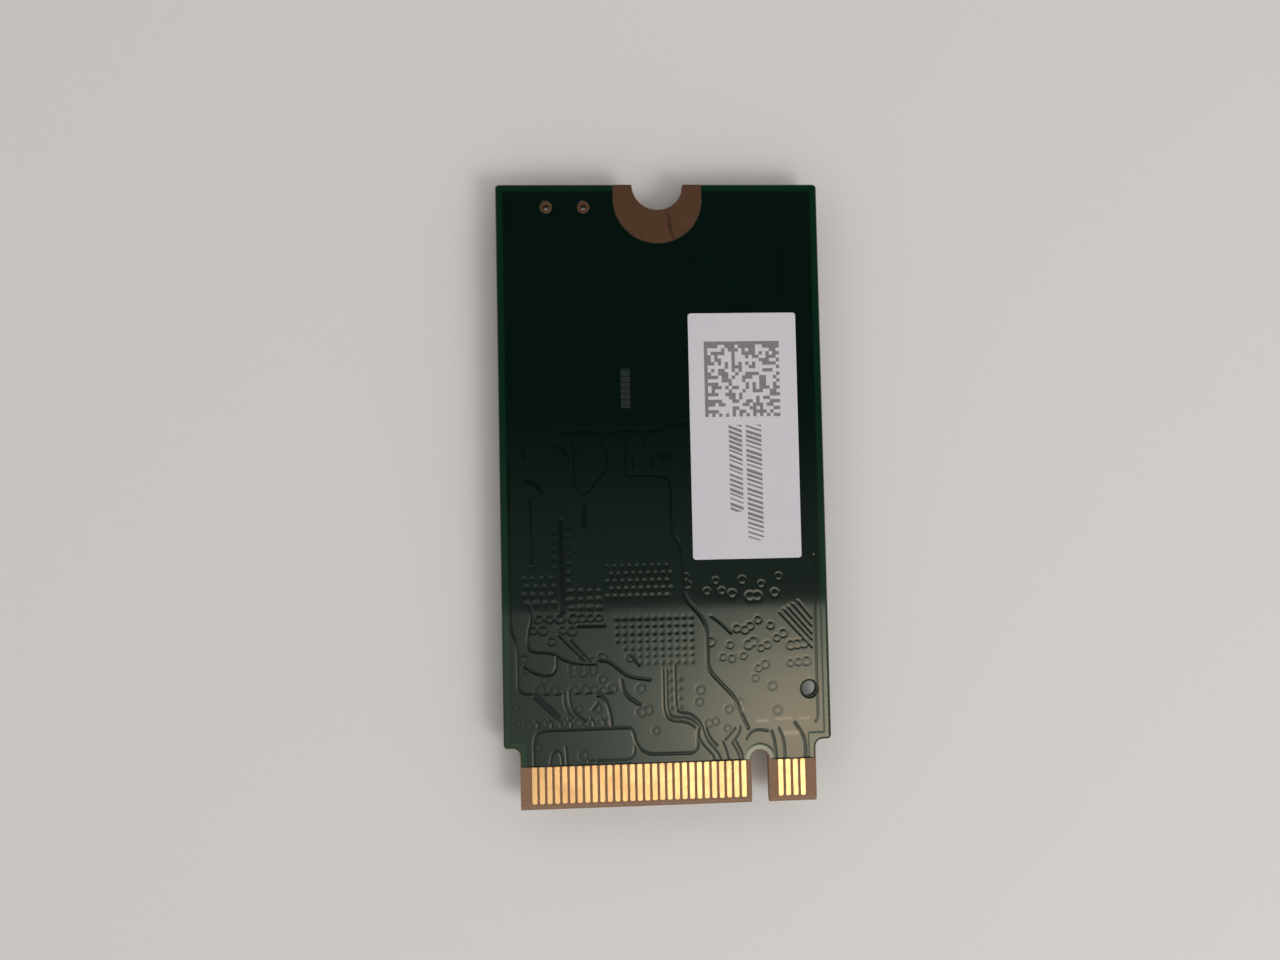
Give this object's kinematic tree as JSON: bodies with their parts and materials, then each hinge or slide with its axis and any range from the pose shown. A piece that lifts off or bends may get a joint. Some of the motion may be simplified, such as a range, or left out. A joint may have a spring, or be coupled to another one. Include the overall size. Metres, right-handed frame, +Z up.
{
  "type": "m2 nvme ssd",
  "caption": "Bare solid-state drive card: keyed gold edge contacts at one end, half-round screw seat at the other, a paper label on the plain side and chips on the other side.",
  "frame": {"origin": "middle of the card in plan, at the level of the package tops that it lies on", "axes": "+X across the card towards the key slot, +Y from the connector end to the screw end, +Z up, out of the labelled side"},
  "size_m": [0.022, 0.042, 0.002],
  "materials": {
    "laminate": "bare glass-epoxy, tan with a faint weave",
    "solder_mask": "dark green solder mask, semi-gloss",
    "gold_contacts": "bright gold plate",
    "seat_plating": "dull gold plate",
    "label_paper": "matte white label stock, slightly cool",
    "mould_compound": "black moulding compound, fine grain",
    "package_substrate": "green substrate edge",
    "solder": "dull tin solder",
    "tinned_terminals": "satin tin plate",
    "inductor_ferrite": "dark grey pressed ferrite",
    "capacitor_ceramic": "fired tan-brown ceramic",
    "resistor_film": "black glazed film",
    "fuse_ceramic": "white ceramic",
    "crystal_ceramic": "dark ceramic base",
    "crystal_metal": "satin metal lid"
  },
  "bodies": {
    "root": {"circuit_board": "laminate", "solder_mask_back": "solder_mask", "solder_mask_front": "solder_mask", "back_edge_contacts": "gold_contacts", "front_edge_contacts": "gold_contacts", "screw_seat_plating": "seat_plating", "test_hole_eyelets": "seat_plating", "serial_label": "label_paper", "flash_mould_cap": "mould_compound", "controller_mould_cap": "mould_compound", "regulator_body": "mould_compound", "load_switch_body": "mould_compound", "flash_substrate": "package_substrate", "controller_substrate": "package_substrate", "flash_solder_balls": "solder", "controller_solder_balls": "solder", "regulator_leads": "tinned_terminals", "load_switch_leads": "tinned_terminals", "inductor_1_terminals": "tinned_terminals", "inductor_2_terminals": "tinned_terminals", "inductor_3_terminals": "tinned_terminals", "bulk_capacitor_terminals": "tinned_terminals", "decoupling_capacitor_terminals": "tinned_terminals", "resistor_terminals": "tinned_terminals", "coupling_capacitor_terminals": "tinned_terminals", "input_fuse_terminals": "tinned_terminals", "inductor_1_core": "inductor_ferrite", "inductor_2_core": "inductor_ferrite", "inductor_3_core": "inductor_ferrite", "bulk_capacitor_bodies": "capacitor_ceramic", "decoupling_capacitor_bodies": "capacitor_ceramic", "coupling_capacitor_bodies": "capacitor_ceramic", "resistor_bodies": "resistor_film", "input_fuse_bodies": "fuse_ceramic", "crystal_base": "crystal_ceramic", "crystal_lid": "crystal_metal"}
  },
  "joints": []
}
